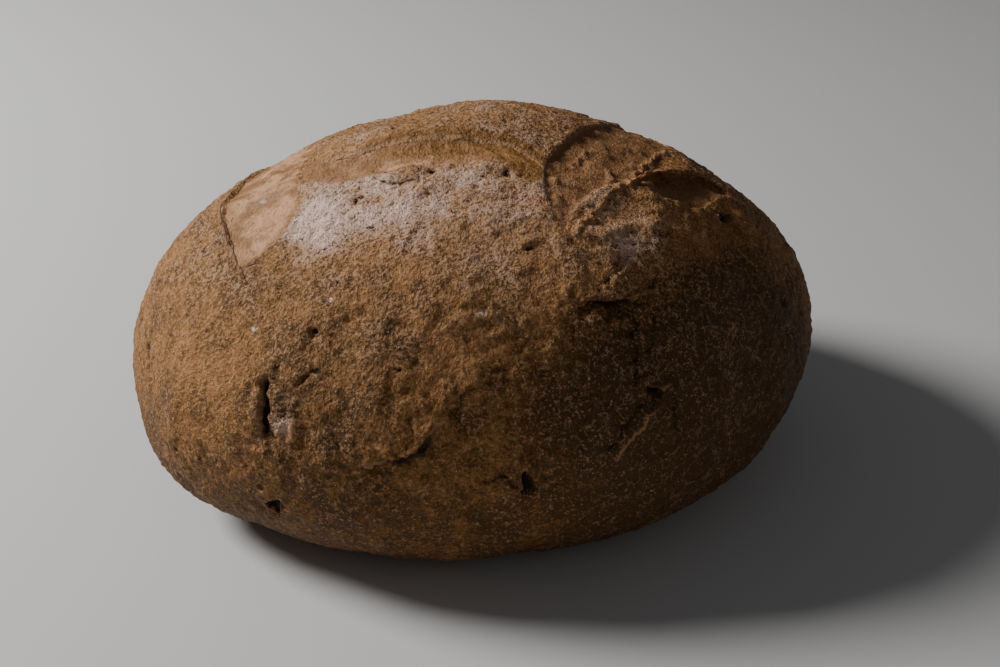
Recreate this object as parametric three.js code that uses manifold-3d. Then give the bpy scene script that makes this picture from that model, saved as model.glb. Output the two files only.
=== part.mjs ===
// A rustic oval country loaf, baked free on a flat stone. It is one solid: a high domed
// crust on a flat base, opened by scores on top and torn here and there on its flanks.
//
// Units are millimetres. +Z is up, +X runs along the loaf, and the origin is the middle of
// the flat base, so the loaf stands on the XY plane. Its best side faces -Y.

import * as THREE from 'three';
import { mergeVertices } from 'three/addons/utils/BufferGeometryUtils.js';
import Module from 'manifold-3d';

const wasm = await Module();
wasm.setup();

// Driving dimensions of the body
const LENGTH = 250;
const WIDTH = 196;
const HEIGHT = 129.5;
const WAIST = 47; // height of the widest place
const DOME_POWER = 1.9; // 2 makes an ellipse, a larger number a squarer shoulder
const FLANK_POWER = 3;
const UNDERSIDE_DROP = 52.6; // from the waist down to where the flanks would close

// Fineness of the faces
const FINE_EDGE = 5.4; // edge length beside a tear
const PLAIN_EDGE = 12;
const BURIED_EDGE = 30; // below the base plane, which cuts it off
const EDGE_GROWTH = 0.5; // how fast the edge length grows away from a tear
const START_DETAIL = 5; // subdivisions of the icosahedron that the faces start from
const REFINING_PASSES = 5;
const STATION_STEP = 4; // spacing of the sections along a tear
const FLOOR_STEP = 5; // spacing of the floor's points across a tear

const CLEARANCE = 9; // how far a cutter reaches above the crust
const FAR_SLANT = 1.2; // how far a cutter's far wall leans outwards up to there
const TIP = 0.05; // how open a cutter is at the ends of its line, as a share
const FLOOR_POWER = 2; // a larger number makes a floor rise sooner from the sharp edge

const CRUST_COLOUR = 0xb0763f;

const MIDDLE = new THREE.Vector3(0, 0, WAIST);
const TINY = 1e-6;

// Each tear is a cut that opened in the oven. Its line is the sharp, lifted edge, and the
// opening lies on the right-hand side as one walks along it, seen from outside. width is the
// opening's greatest width, at widestAt of the line's length, and a smaller taper makes its
// ends blunter. The floor is depth deep under the sharp edge, runs back under it by undercut,
// and rises to shelf of that depth at the far edge. lip and farLip are the heights of the two
// edges above the crust, which sink back to it over lipReach and farReach.
const SCORES = {
  leftCross: {
    line: [[-85, -31, 99], [-87, -19, 102], [-87, -5, 104], [-85, 14, 105], [-78, 33, 104], [-66, 52, 100]],
    width: 35, widestAt: 0.62, taper: 0.35, depth: 1.1, shelf: 0.85, undercut: 0.2,
    lip: 0.5, lipReach: 15, farLip: 0.6, farReach: 9,
  },
  longFront: {
    line: [
      [-60, 8, 119], [-47, -1, 123], [-33, -3, 126], [-18, -7, 129], [-2, -12, 129],
      [10, -18, 128], [17, -30, 124],
    ],
    width: 16.5, widestAt: 0.4, taper: 0.45, depth: 2.4, shelf: 0.4, undercut: 0,
    lip: 1, lipReach: 12, farLip: 0.5, farReach: 8,
  },
  rightCross: {
    line: [
      [16, -56, 113], [14, -45, 119], [18, -28, 125], [30, -10, 126], [44, 9, 122],
      [59, 27, 114], [70, 45, 103],
    ],
    width: 34, widestAt: 0.64, taper: 0.75, depth: 1.4, shelf: 0.75, undercut: 0.2,
    lip: 0.3, lipReach: 14, farLip: 1.2, farReach: 4.5,
  },
  shortRight: {
    line: [[46, -33, 117], [55, -27, 117], [70, -17, 112], [82, -12, 108], [93, -16, 99]],
    width: 16, widestAt: 0.45, taper: 0.7, depth: 4.6, shelf: 0.15, undercut: 3,
    lip: 1.2, lipReach: 8, farLip: 1, farReach: 7,
  },
  back: {
    line: [[52, 38, 116], [26, 46, 119], [-4, 49, 119], [-30, 46, 117], [-54, 40, 112]],
    width: 18, widestAt: 0.5, taper: 0.6, depth: 3.6, shelf: 0.35, undercut: 1,
    lip: 1.4, lipReach: 12, farLip: 0.8, farReach: 7,
  },
};

const FLANK_TEARS = {
  upperFlake: {
    line: [[14, -77, 94], [20, -75, 97], [28, -74, 95], [34, -74, 96], [40, -71, 97]],
    width: 5, widestAt: 0.4, taper: 0.6, depth: 3.6, shelf: 0.1, undercut: 3,
    lip: 1.9, lipReach: 9, farLip: 0, farReach: 5,
  },
  lowerFlake: {
    line: [[-56, -87, 56], [-47, -90, 57.5], [-38, -91, 61], [-33, -91, 67], [-27, -90, 74]],
    width: 3, widestAt: 0.45, taper: 0.8, depth: 2.2, shelf: 0.1, undercut: 2,
    lip: 1.4, lipReach: 12, farLip: 0, farReach: 5,
  },
  uprightSlit: {
    line: [[-84, -71, 58], [-84, -69, 66], [-82, -65, 74], [-79, -63, 80]],
    width: 3.4, widestAt: 0.5, taper: 0.5, depth: 4.5, shelf: 0.6, undercut: 0.8,
    lip: 0.6, lipReach: 7, farLip: 0, farReach: 6,
  },
  lowRightCave: {
    line: [[35, -89, 73], [39, -88, 72], [44, -87, 71]],
    width: 3.6, widestAt: 0.5, taper: 0.5, depth: 3.5, shelf: 0.3, undercut: 1.5,
    lip: 0.7, lipReach: 6, farLip: 0.4, farReach: 5,
  },
  frontCave: {
    line: [[-7, -98, 42], [-7.5, -98, 47], [-5, -97, 54]],
    width: 6, widestAt: 0.25, taper: 0.5, depth: 4, shelf: 0.4, undercut: 0.8,
    lip: 0.5, lipReach: 6, farLip: 0.4, farReach: 5,
  },
  lowLeftCave: {
    line: [[-86, -70, 32], [-83, -73, 36], [-79, -75, 37]],
    width: 5.5, widestAt: 0.5, taper: 0.5, depth: 4, shelf: 0.4, undercut: 0.8,
    lip: 0.5, lipReach: 6, farLip: 1.2, farReach: 6,
  },
  rightShoulderCave: {
    line: [[77, -34, 101], [80, -30, 104], [86, -28, 101]],
    width: 5.5, widestAt: 0.5, taper: 0.6, depth: 3.4, shelf: 0.4, undercut: 0.8,
    lip: 0.6, lipReach: 6, farLip: 1.2, farReach: 6,
  },
  backFlake: {
    line: [[40, 85, 70], [27, 89, 75], [14, 91, 75], [0, 93, 69]],
    width: 4.5, widestAt: 0.5, taper: 0.7, depth: 3, shelf: 0.1, undercut: 2.5,
    lip: 1.7, lipReach: 12, farLip: 0, farReach: 5,
  },
};

// Round swellings of the crust, and dimples where the height is negative
const SWELLINGS = {
  middleIsland: { at: [12, 14, 128], radius: 38, height: 1.8 },
  topHollow: { at: [-20, 34, 124], radius: 38, height: -3 },
  leftShoulder: { at: [-98, 2, 95], radius: 28, height: 2.8 },
  leftFloor: { at: [-58, 30, 113], radius: 26, height: -2.6 },
  leftEnd: { at: [-122, -10, 58], radius: 36, height: -2.4 },
  leftFoot: { at: [-86, -62, 22], radius: 46, height: -3.2 },
  rightEnd: { at: [112, 24, 88], radius: 36, height: -2 },
  topBlister: { at: [-31, -27, 123], radius: 9, height: 1.5 },
  rightBrow: { at: [45, -58, 106], radius: 24, height: 1.4 },
  slitDent: { at: [-75, -74, 64], radius: 11, height: -1.4 },
  upperDimple: { at: [-58, -70, 88], radius: 11, height: -1 },
  middleDimple: { at: [-32, -83, 83], radius: 12, height: -1.2 },
  rightHollow: { at: [70, -75, 52], radius: 32, height: -1.6 },
  backSwell: { at: [60, 72, 70], radius: 36, height: 1.8 },
  backHollow: { at: [-60, 76, 62], radius: 32, height: -1.5 },
};

// Slow waves that keep the crust from being an even egg
const WAVES = [
  { along: [1, 0.4, 0.2], length: 118, height: 0.9, start: 0.6 },
  { along: [-0.3, 1, 0.5], length: 92, height: 0.8, start: 2.1 },
  { along: [0.5, -0.6, 1], length: 61, height: 0.5, start: 4 },
  { along: [1, 0.9, -0.7], length: 37, height: 0.35, start: 1.3 },
];
const CALM_HEIGHT = 4; // relief fades out from the lively height down to this one
const LIVELY_HEIGHT = 18;

const onRange = THREE.MathUtils.smoothstep;

function aroundAxis(point) {
  return Math.hypot(point.x / (LENGTH / 2), point.y / (WIDTH / 2));
}

// The half of the body that a height above the waist belongs to
function halfOf(heightAboveWaist) {
  return heightAboveWaist >= 0
    ? { power: DOME_POWER, reach: HEIGHT - WAIST, up: 1 }
    : { power: FLANK_POWER, reach: UNDERSIDE_DROP, up: -1 };
}

// The smooth body's surface in a direction from the middle
function onBody(direction) {
  const { power, reach } = halfOf(direction.z);
  const level = Math.abs(direction.z) / reach;
  const distance = (aroundAxis(direction) ** power + level ** power) ** (-1 / power);
  return direction.clone().multiplyScalar(distance).add(MIDDLE);
}

// The outward normal of the smooth body at a point on it
function bodyNormal(point) {
  const height = point.z - WAIST;
  const { power, reach, up } = halfOf(height);
  const steepness = Math.max(aroundAxis(point), TINY) ** (power - 2);
  return new THREE.Vector3(
    steepness * point.x / (LENGTH / 2) ** 2,
    steepness * point.y / (WIDTH / 2) ** 2,
    up * (Math.abs(height) / reach) ** (power - 1) / reach,
  ).normalize();
}

// How much of the relief is left at a height: none at the base
function liveliness(point) {
  return onRange(point.z, CALM_HEIGHT, LIVELY_HEIGHT);
}

// The height of the waves and swellings above the smooth body
function unevenness(point) {
  let rise = 0;
  for (const wave of WAVES) {
    const along = new THREE.Vector3(...wave.along).normalize().dot(point);
    rise += wave.height * Math.sin(2 * Math.PI * along / wave.length + wave.start);
  }
  for (const swelling of Object.values(SWELLINGS)) {
    const distance = point.distanceTo(new THREE.Vector3(...swelling.at));
    rise += swelling.height * (1 - onRange(distance, 0, swelling.radius));
  }
  return rise * liveliness(point);
}

// How wide a tear is open at a place along its line, as a share: nothing at its ends
function opening({ widestAt, taper }, along) {
  const share = along < widestAt ? along / widestAt : (1 - along) / (1 - widestAt);
  return Math.sin(Math.PI / 2 * THREE.MathUtils.clamp(share, 0, 1)) ** taper;
}

// A tear with its line laid on the body, as a row of close stations
function layLine(tear) {
  const corners = tear.line.map(([x, y, z]) => onBody(new THREE.Vector3(x, y, z).sub(MIDDLE)));
  const curve = new THREE.CatmullRomCurve3(corners, false, 'catmullrom', 0.5);
  const steps = Math.ceil(curve.getLength() / STATION_STEP);
  const stations = curve.getSpacedPoints(steps).map((spot, index) => {
    const point = onBody(spot.sub(MIDDLE));
    const heading = curve.getTangentAt(index / steps);
    const across = heading.cross(bodyNormal(point)).normalize();
    return { point, across, open: opening(tear, index / steps) };
  });
  return { ...tear, stations };
}

// A point's place beside a tear: its distance across from the sharp edge, less than nothing
// on the lip's side, and how wide the tear is open there
function placeBeside(tear, point) {
  let nearest = tear.stations[0];
  let shortest = Infinity;
  for (const station of tear.stations) {
    const distance = station.point.distanceTo(point);
    if (distance < shortest) {
      shortest = distance;
      nearest = station;
    }
  }
  const side = Math.sign(point.clone().sub(nearest.point).dot(nearest.across));
  return { across: side * shortest, open: nearest.open, width: tear.width * nearest.open };
}

// How high the crust is lifted beside a tear
function lipHeight(tear, point) {
  const { across, open, width } = placeBeside(tear, point);
  const share = onRange(across, 0, Math.max(width, TINY));
  const nearSide = tear.lip * Math.exp(-((Math.min(across, 0) / tear.lipReach) ** 2));
  const farSide = tear.farLip * Math.exp(-((Math.max(across - width, 0) / tear.farReach) ** 2));
  return open * THREE.MathUtils.lerp(nearSide, farSide, share);
}

// The crust before the tears are cut out of it
function onCrust(point, tears) {
  const lift = tears.reduce((sum, tear) => sum + lipHeight(tear, point), 0) * liveliness(point);
  return point.clone().addScaledVector(bodyNormal(point), unevenness(point) + lift);
}

// The edge length wanted at a point of the body: short beside a tear's two edges
function wantedEdge(point, tears) {
  if (point.z < 0) {
    return BURIED_EDGE;
  }
  const toTear = Math.min(...tears.map((tear) => {
    const { across, width } = placeBeside(tear, point);
    return Math.min(Math.abs(across), Math.abs(across - width));
  }));
  return Math.min(FINE_EDGE + EDGE_GROWTH * toTear, PLAIN_EDGE);
}

// Splits every edge that is longer than wanted, and the faces beside it to match, so that
// the faces stay joined
function refine(directions, faces, tears) {
  const surface = directions.map(onBody);
  const middles = new Map();
  const middleOf = (a, b) => {
    const key = a < b ? `${a} ${b}` : `${b} ${a}`;
    if (!middles.has(key)) {
      const centre = surface[a].clone().add(surface[b]).multiplyScalar(0.5);
      const isLong = surface[a].distanceTo(surface[b]) > wantedEdge(centre, tears);
      const halfway = directions[a].clone().add(directions[b]).normalize();
      middles.set(key, isLong ? directions.push(halfway) - 1 : null);
    }
    return middles.get(key);
  };
  return faces.flatMap((corners) => {
    const halves = corners.map((corner, k) => middleOf(corner, corners[(k + 1) % 3]));
    const isSplit = halves.map((half) => half !== null);
    const count = isSplit.filter(Boolean).length;
    // The face is turned so that a lone split edge comes first, and a lone whole edge last
    const first = { 0: 0, 1: isSplit.indexOf(true), 2: isSplit.indexOf(false) + 1, 3: 0 }[count];
    const [a, b, c] = [0, 1, 2].map((k) => corners[(first + k) % 3]);
    const [ab, bc, ca] = [0, 1, 2].map((k) => halves[(first + k) % 3]);
    return [
      [[a, b, c]],
      [[a, ab, c], [ab, b, c]],
      [[a, ab, c], [ab, bc, c], [ab, b, bc]],
      [[a, ab, ca], [ab, b, bc], [ca, bc, c], [ab, bc, ca]],
    ][count];
  });
}

// The three corners of each face, from a geometry whose faces share their corners
function facesOf(geometry) {
  const order = Array.from(geometry.getIndex().array);
  return Array.from({ length: order.length / 3 }, (_, k) => order.slice(3 * k, 3 * k + 3));
}

// A geometry with only places, whose faces share their corners
function joined(geometry) {
  geometry.deleteAttribute('normal');
  geometry.deleteAttribute('uv');
  return mergeVertices(geometry, 1e-5);
}

// The crust of the whole loaf, with its swellings and lips, as a closed surface that runs on
// below the base plane
function crustGeometry(tears) {
  const ball = joined(new THREE.IcosahedronGeometry(1, START_DETAIL));
  const corners = ball.getAttribute('position');
  const directions = Array.from({ length: corners.count }, (_, k) => (
    new THREE.Vector3().fromBufferAttribute(corners, k)));
  let faces = facesOf(ball);
  for (let pass = 0; pass < REFINING_PASSES; pass += 1) {
    faces = refine(directions, faces, tears);
  }
  const points = directions.map((direction) => onCrust(onBody(direction), tears));
  const geometry = new THREE.BufferGeometry().setFromPoints(points);
  geometry.setIndex(faces.flat());
  return geometry;
}

// What the flat baking stone takes off the round underside
function stoneGeometry() {
  return joined(new THREE.BoxGeometry(LENGTH, WIDTH, WAIST).translate(0, 0, -WAIST / 2));
}

// A closed surface through a row of like sections, each a ring of points
function loft(sections) {
  const ring = sections[0].length;
  const last = (sections.length - 1) * ring;
  const order = [];
  for (let step = 0; step < last; step += ring) {
    for (let k = 0; k < ring; k += 1) {
      const next = (k + 1) % ring;
      order.push(step + k, step + ring + k, step + ring + next);
      order.push(step + k, step + ring + next, step + next);
    }
  }
  for (let k = 1; k < ring - 1; k += 1) {
    order.push(0, k, k + 1);
    order.push(last, last + k + 1, last + k);
  }
  const geometry = new THREE.BufferGeometry().setFromPoints(sections.flat());
  geometry.setIndex(order);
  return geometry;
}

// A point beside a station of a tear's line: so far across, and so high above the crust
function pointBeside(station, across, height) {
  const aside = station.point.clone().addScaledVector(station.across, across);
  const point = onBody(aside.sub(MIDDLE));
  return point.addScaledVector(bodyNormal(point), unevenness(point) + height);
}

// What a tear takes out of the crust: its floor starts under the sharp edge and rises to the
// far edge
function tearGeometry(tear) {
  const steps = Math.max(2, Math.round(tear.width / FLOOR_STEP));
  return loft(tear.stations.map((station) => {
    const open = Math.max(station.open, TIP);
    const width = tear.width * open;
    const undercut = tear.undercut * open;
    const floor = Array.from({ length: steps + 1 }, (_, k) => {
      const fall = tear.shelf + (1 - tear.shelf) * (1 - k / steps) ** FLOOR_POWER;
      const across = THREE.MathUtils.lerp(-undercut, width, k / steps);
      return pointBeside(station, across, -tear.depth * open * fall);
    });
    return [
      ...floor,
      pointBeside(station, width + FAR_SLANT * open, CLEARANCE),
      pointBeside(station, width / 2, CLEARANCE),
      pointBeside(station, undercut / 2, CLEARANCE),
    ];
  }));
}

function toSolid(geometry) {
  return new wasm.Manifold(new wasm.Mesh({
    numProp: 3,
    vertProperties: Float32Array.from(geometry.getAttribute('position').array),
    triVerts: Uint32Array.from(geometry.getIndex().array),
  }));
}

function toGeometry(solid) {
  const mesh = solid.getMesh();
  const geometry = new THREE.BufferGeometry();
  geometry.setAttribute('position', new THREE.BufferAttribute(mesh.vertProperties, 3));
  geometry.setIndex(new THREE.BufferAttribute(mesh.triVerts, 1));
  return geometry;
}

function loafGeometry() {
  const tears = Object.values({ ...SCORES, ...FLANK_TEARS }).map(layLine);
  let solid = toSolid(crustGeometry(tears)).subtract(toSolid(stoneGeometry()));
  for (const tear of tears) {
    solid = solid.subtract(toSolid(tearGeometry(tear)));
  }
  const geometry = toGeometry(solid);
  geometry.computeVertexNormals();
  return geometry;
}

function crustMaterial() {
  return new THREE.MeshStandardMaterial({ color: CRUST_COLOUR, roughness: 0.85, metalness: 0 });
}

const loaf = new THREE.Mesh(loafGeometry(), crustMaterial());
loaf.name = 'loaf';

const bread = new THREE.Group();
bread.add(loaf);

export default bread;
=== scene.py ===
"""The looks of a rustic country loaf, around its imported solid. Metres, +Z up.

The crust starts from the solid's own form. It is remeshed finely, smoothed, and given
ragged tears, lumps, blisters, cracks and pores, and loose grains of flour lie on it.
"""

import math
from typing import NamedTuple

import bpy
import numpy as np
from bpy.props import FloatProperty, FloatVectorProperty, IntProperty, PointerProperty
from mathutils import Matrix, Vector


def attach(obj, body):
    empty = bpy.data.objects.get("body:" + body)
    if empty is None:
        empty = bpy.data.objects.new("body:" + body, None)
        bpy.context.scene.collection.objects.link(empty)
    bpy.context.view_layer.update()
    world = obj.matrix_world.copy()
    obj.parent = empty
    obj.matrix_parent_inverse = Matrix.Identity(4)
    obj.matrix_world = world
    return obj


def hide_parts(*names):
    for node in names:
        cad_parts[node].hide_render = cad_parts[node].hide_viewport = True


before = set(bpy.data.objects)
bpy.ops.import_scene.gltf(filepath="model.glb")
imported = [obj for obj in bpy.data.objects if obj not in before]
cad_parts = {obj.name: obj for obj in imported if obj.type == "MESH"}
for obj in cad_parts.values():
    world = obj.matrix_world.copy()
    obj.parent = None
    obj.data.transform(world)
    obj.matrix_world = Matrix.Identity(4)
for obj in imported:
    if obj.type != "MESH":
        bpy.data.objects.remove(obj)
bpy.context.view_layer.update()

bl_info = {
    "name": "Country Loaf",
    "version": (1, 0, 0),
    "blender": (4, 5, 0),
    "location": "View3D > Sidebar > Bread",
    "description": "Dresses the solid of a country loaf with a rough crust and flour",
    "category": "Object",
}

MM = 0.001
LOAF = "loaf"
BODY = "root"

# The smooth body under the relief, as the solid has it, in millimetres
HALF_LENGTH = 125
HALF_WIDTH = 98
WAIST = 47
RISE = 82.5  # from the waist to the top
DROP = 52.6  # from the waist down to where the flanks would close
DOME_POWER = 1.9
FLANK_POWER = 3

FAR_AWAY = 9.0  # the distance kept, in millimetres, where no mark is near
CURVE_STEPS = 12  # stations on a line, from each given place to the next
SMOOTHING_ROUNDS = 260
FLECK_HEIGHT = 0.3  # in millimetres
WOBBLE_SEEDS = (5, 6)
GRAIN_SEED = 11
GRAIN_SIZES = (0.25, 0.75)  # shortest and longest grain, in millimetres
PICTURE_WIDTH = 1000  # in pixels
OFF_CENTRE = (22.3, 27.1)  # pixels that the loaf's middle is left of the picture's and above it


class Tear(NamedTuple):
    """A tear's sharp edge as the solid has it, with the opening on its right seen from
    outside, in millimetres. toast is how well baked the floor is, crisp how sharp the
    edges stay, and ragged how far they stray, all from 0 to 1."""

    line: list
    width: float
    widest_at: float = 0.5
    taper: float = 0.5
    toast: float = 0
    crisp: float = 1
    ragged: float = 1


class Crack(NamedTuple):
    """A fine crack: how far the crust on its left is lifted, over what reach, and the
    crack's depth and half-width, in millimetres."""

    lift: float
    reach: float
    depth: float
    half_width: float
    line: list


class Ridge(NamedTuple):
    """A thin raised fold, in millimetres. light is how bare and bright its crest is, from
    0 to 1."""

    height: float
    half_width: float
    light: float
    line: list


SCORES = {
    "left_cross": Tear(
        [(-85, -31, 99), (-87, -19, 102), (-87, -5, 104), (-85, 14, 105), (-78, 33, 104), (-66, 52, 100)],
        width=35, widest_at=0.62, taper=0.35, toast=0.05, ragged=0.12,
    ),
    "long_front": Tear(
        [(-60, 8, 119), (-47, -1, 123), (-33, -3, 126), (-18, -7, 129), (-2, -12, 129), (10, -18, 128),
         (17, -30, 124)],
        width=16.5, widest_at=0.4, taper=0.45, toast=0.3, crisp=0, ragged=0.3,
    ),
    "right_cross": Tear(
        [(16, -56, 113), (14, -45, 119), (18, -28, 125), (30, -10, 126), (44, 9, 122), (59, 27, 114),
         (70, 45, 103)],
        width=34, widest_at=0.64, taper=0.75, toast=0.75, ragged=0.22,
    ),
    "short_right": Tear(
        [(46, -33, 117), (55, -27, 117), (70, -17, 112), (82, -12, 108), (93, -16, 99)],
        width=16, widest_at=0.45, taper=0.7, toast=0.85, ragged=0.4,
    ),
    "back": Tear(
        [(52, 38, 116), (26, 46, 119), (-4, 49, 119), (-30, 46, 117), (-54, 40, 112)],
        width=18, taper=0.6, toast=0.3, ragged=0.3,
    ),
}
FLANK_TEARS = {
    "upper_flake": Tear(
        [(14, -77, 94), (20, -75, 97), (28, -74, 95), (34, -74, 96), (40, -71, 97)],
        width=5, widest_at=0.4, taper=0.6,
    ),
    "lower_flake": Tear(
        [(-56, -87, 56), (-47, -90, 57.5), (-38, -91, 61), (-33, -91, 67), (-27, -90, 74)],
        width=3, widest_at=0.45, taper=0.8,
    ),
    "upright_slit": Tear([(-84, -71, 58), (-84, -69, 66), (-82, -65, 74), (-79, -63, 80)], width=3.4),
    "low_right_cave": Tear([(35, -89, 73), (39, -88, 72), (44, -87, 71)], width=3.6),
    "front_cave": Tear([(-7, -98, 42), (-7.5, -98, 47), (-5, -97, 54)], width=6, widest_at=0.25),
    "low_left_cave": Tear([(-86, -70, 32), (-83, -73, 36), (-79, -75, 37)], width=5.5),
    "right_shoulder_cave": Tear([(77, -34, 101), (80, -30, 104), (86, -28, 101)], width=5.5, taper=0.6),
    "back_flake": Tear([(40, 85, 70), (27, 89, 75), (14, 91, 75), (0, 93, 69)], width=4.5, taper=0.7),
}

CRACKS = [
    # Beside the left score and round the oval blister
    Crack(0.2, 6, 0.6, 0.5, [(-85, -29, 100), (-85, -32, 99), (-85, -34, 98), (-84, -37, 96)]),
    Crack(0.3, 4, 0.7, 0.6, [(-84, -30, 100), (-82, -31, 101), (-80, -32, 102)]),
    Crack(0.5, 4, 0.6, 0.5, [(-37, -20, 123), (-35, -25, 123), (-31, -27, 123), (-27, -27, 124)]),
    Crack(0.4, 4, 0.5, 0.5, [(-24, -24, 125), (-26, -20, 126), (-30, -18, 125), (-34, -18, 125)]),
    # The upper flake: its rim, its top, below it and on its right
    Crack(-1.0, 8, 0.6, 0.5, [(21, -74, 97), (22, -73, 98), (24, -71, 99), (27, -69, 101), (30, -67, 102)]),
    Crack(-0.5, 6, 0.5, 0.4, [(31, -67, 102), (35, -68, 100), (38, -69, 98), (37, -73, 94)]),
    Crack(0.5, 6, 0.6, 0.4, [(35, -76, 92), (33, -80, 88), (33, -83, 83), (33, -85, 79), (31, -88, 75)]),
    Crack(0.4, 5, 0.6, 0.4, [(40, -73, 94), (42, -75, 91), (41, -77, 87), (38, -82, 82)]),
    Crack(0.3, 4, 0.9, 0.7, [(44, -66, 99), (42, -69, 97)]),
    # The lower flake: its hook, above it, on its left and through it
    Crack(0.4, 4, 0.6, 0.5, [(-27, -89, 73), (-25, -91, 71), (-23, -92, 68), (-24, -93, 64)]),
    Crack(0.6, 7, 0.4, 0.4, [(-28, -89, 73), (-25, -89, 76), (-23, -88, 78), (-20, -88, 80)]),
    Crack(0.7, 7, 0.5, 0.4, [(-63, -83, 61), (-58, -86, 57), (-54, -87, 56), (-50, -89, 56)]),
    Crack(0.2, 4, 0.4, 0.35, [(-41, -90, 62), (-40, -90, 66), (-39, -88, 70), (-38, -87, 74)]),
    # Beside and above the upright slit
    Crack(0.2, 4, 0.9, 0.6, [(-68, -70, 82), (-69, -70, 80), (-70, -70, 78)]),
    Crack(0.3, 4, 0.7, 0.5, [(-66, -64, 90), (-64, -64, 91), (-62, -64, 91)]),
    # Low in front, beside the holes
    Crack(0.5, 6, 0.5, 0.4, [(37, -89, 70), (33, -91, 67), (29, -93, 64), (25, -94, 60), (22, -96, 56)]),
    Crack(0.5, 5, 0.4, 0.4, [(0, -98, 42), (3, -98, 45), (7, -98, 49), (12, -97, 52)]),
    Crack(0.5, 5, 0.4, 0.4, [(-7, -98, 47), (-11, -98, 50), (-15, -97, 50), (-19, -97, 50)]),
    Crack(0.4, 5, 0.5, 0.4, [(11, -96, 60), (14, -96, 57), (18, -96, 57), (22, -95, 58)]),
    Crack(0.5, 6, 0.7, 0.5, [(45, -87, 68), (46, -88, 64), (46, -90, 58), (50, -89, 52)]),
    # The right end, the left end and the back
    Crack(0.4, 6, 0.6, 0.5, [(96, -52, 66), (100, -49, 60), (101, -49, 52)]),
    Crack(0.4, 6, 0.6, 0.5, [(-117, -20, 58), (-118, -14, 64), (-117, -6, 68)]),
    Crack(0.6, 7, 0.7, 0.5, [(-70, 76, 52), (-62, 80, 56), (-54, 82, 62), (-47, 83, 70)]),
    Crack(0.6, 7, 0.7, 0.5, [(70, 74, 50), (76, 70, 56), (78, 66, 64)]),
]

# Where the left score's floor meets the floured crust, as a fine bare crease
CREASE = [(-60, 0, 118), (-63, -7, 117), (-67, -20, 113), (-73, -29, 108), (-80, -30, 103), (-84, -29, 101)]
CREASE_SIZE = 2.2  # its reach to each side, in millimetres

RIDGES = [
    # The torn ridge across the right score
    Ridge(1.0, 1.0, 1.0, [(72, 5, 113), (64, -7, 116), (53, -23, 118), (45, -32, 118), (35, -41, 117),
                          (20, -55, 112)]),
    # On each side of the slit, and low in front
    Ridge(0.9, 1.2, 0.5, [(-77, -73, 66), (-78, -73, 63), (-79, -74, 61)]),
    Ridge(1.1, 1.3, 0.6, [(-75, -73, 68), (-74, -75, 65), (-75, -76, 62), (-76, -76, 60)]),
    Ridge(0.7, 0.8, 0.8, [(38, -90, 66), (33, -92, 62), (27, -95, 57), (23, -96, 53)]),
    # The brow below the right score, and two folds under it
    Ridge(0.9, 2.2, 0.25, [(21, -55, 112), (28, -55, 111), (36, -53, 111), (42, -51, 110), (49, -49, 109)]),
    Ridge(0.8, 2.2, 0.2, [(53, -49, 107), (59, -48, 105), (66, -48, 102)]),
    Ridge(0.6, 1.6, 0, [(29, -58, 109), (35, -57, 109), (44, -56, 107), (52, -55, 104)]),
    Ridge(0.5, 1.6, 0, [(30, -61, 107), (38, -59, 106), (46, -58, 104)]),
    # Folds on the floor of the right score
    Ridge(0.8, 1.5, 0.3, [(19, -34, 121), (24, -36, 120), (30, -37, 119), (34, -38, 118)]),
    Ridge(0.6, 1.3, 0.2, [(21, -42, 119), (24, -44, 118), (27, -44, 117)]),
    Ridge(0.9, 1.6, 0.25, [(36, -23, 121), (39, -26, 120), (39, -31, 119), (36, -36, 118)]),
    Ridge(0.8, 1.6, 0.3, [(28, -24, 122), (34, -17, 122), (40, -13, 122), (44, -15, 121)]),
    # Folds along the long front score and on the floor of the left one
    Ridge(0.7, 1.5, 0.3, [(-12, -15, 127), (-6, -15, 128), (-1, -17, 127), (2, -22, 126)]),
    Ridge(0.7, 1.5, 0.3, [(5, -19, 127), (9, -24, 126), (13, -28, 125)]),
    Ridge(0.6, 1.4, 0.2, [(-5, -24, 126), (0, -27, 125), (5, -29, 124)]),
    Ridge(0.6, 1.4, 0.2, [(-37, -22, 123), (-39, -18, 123), (-40, -14, 124)]),
    Ridge(0.5, 2.4, 0, [(-80, 2, 106), (-75, -8, 108), (-74, -18, 107)]),
]

# Where flour lies thick: middle, reach and strength of each patch, in millimetres
FLOUR_PATCHES = {
    "left_shoulder": ((-60, -33, 112), 12.5, 0.48),
    "left_corner": ((-56, -14, 118), 12, 0.4),
    "left_brow": ((-38, -34, 118), 17, 0.28),
    "left_floor": ((-75, 0, 109), 9, 0.6),
    "left_lip": ((-97, -14, 94), 14, 0.25),
    "front_brow": ((-8, -40, 120), 34, 0.4),
    "right_crest": ((38, -52, 110), 16, 0.34),
    "raised_left": ((-40, 6, 124), 12, 0.3),
    "raised_middle": ((14, 16, 130), 30, 0.18),
    "left_flank": ((-92, -52, 72), 16, 0.1),
    "beside_slit": ((-76, -74, 64), 5, 0.55),
    "back_shoulder": ((-30, 66, 100), 32, 0.4),
    "right_end": ((100, 20, 92), 30, 0.15),
}

# Lone white clumps of flour: place and width, in millimetres
FLECKS = {
    "front": ((-14, -75, 98), 2.2),
    "left": ((-83, -51, 89), 2),
    "middle": ((-58, -58, 99), 1.4),
    "right": ((52, -60, 101), 1.4),
    "back": ((30, 78, 88), 2),
}

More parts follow.
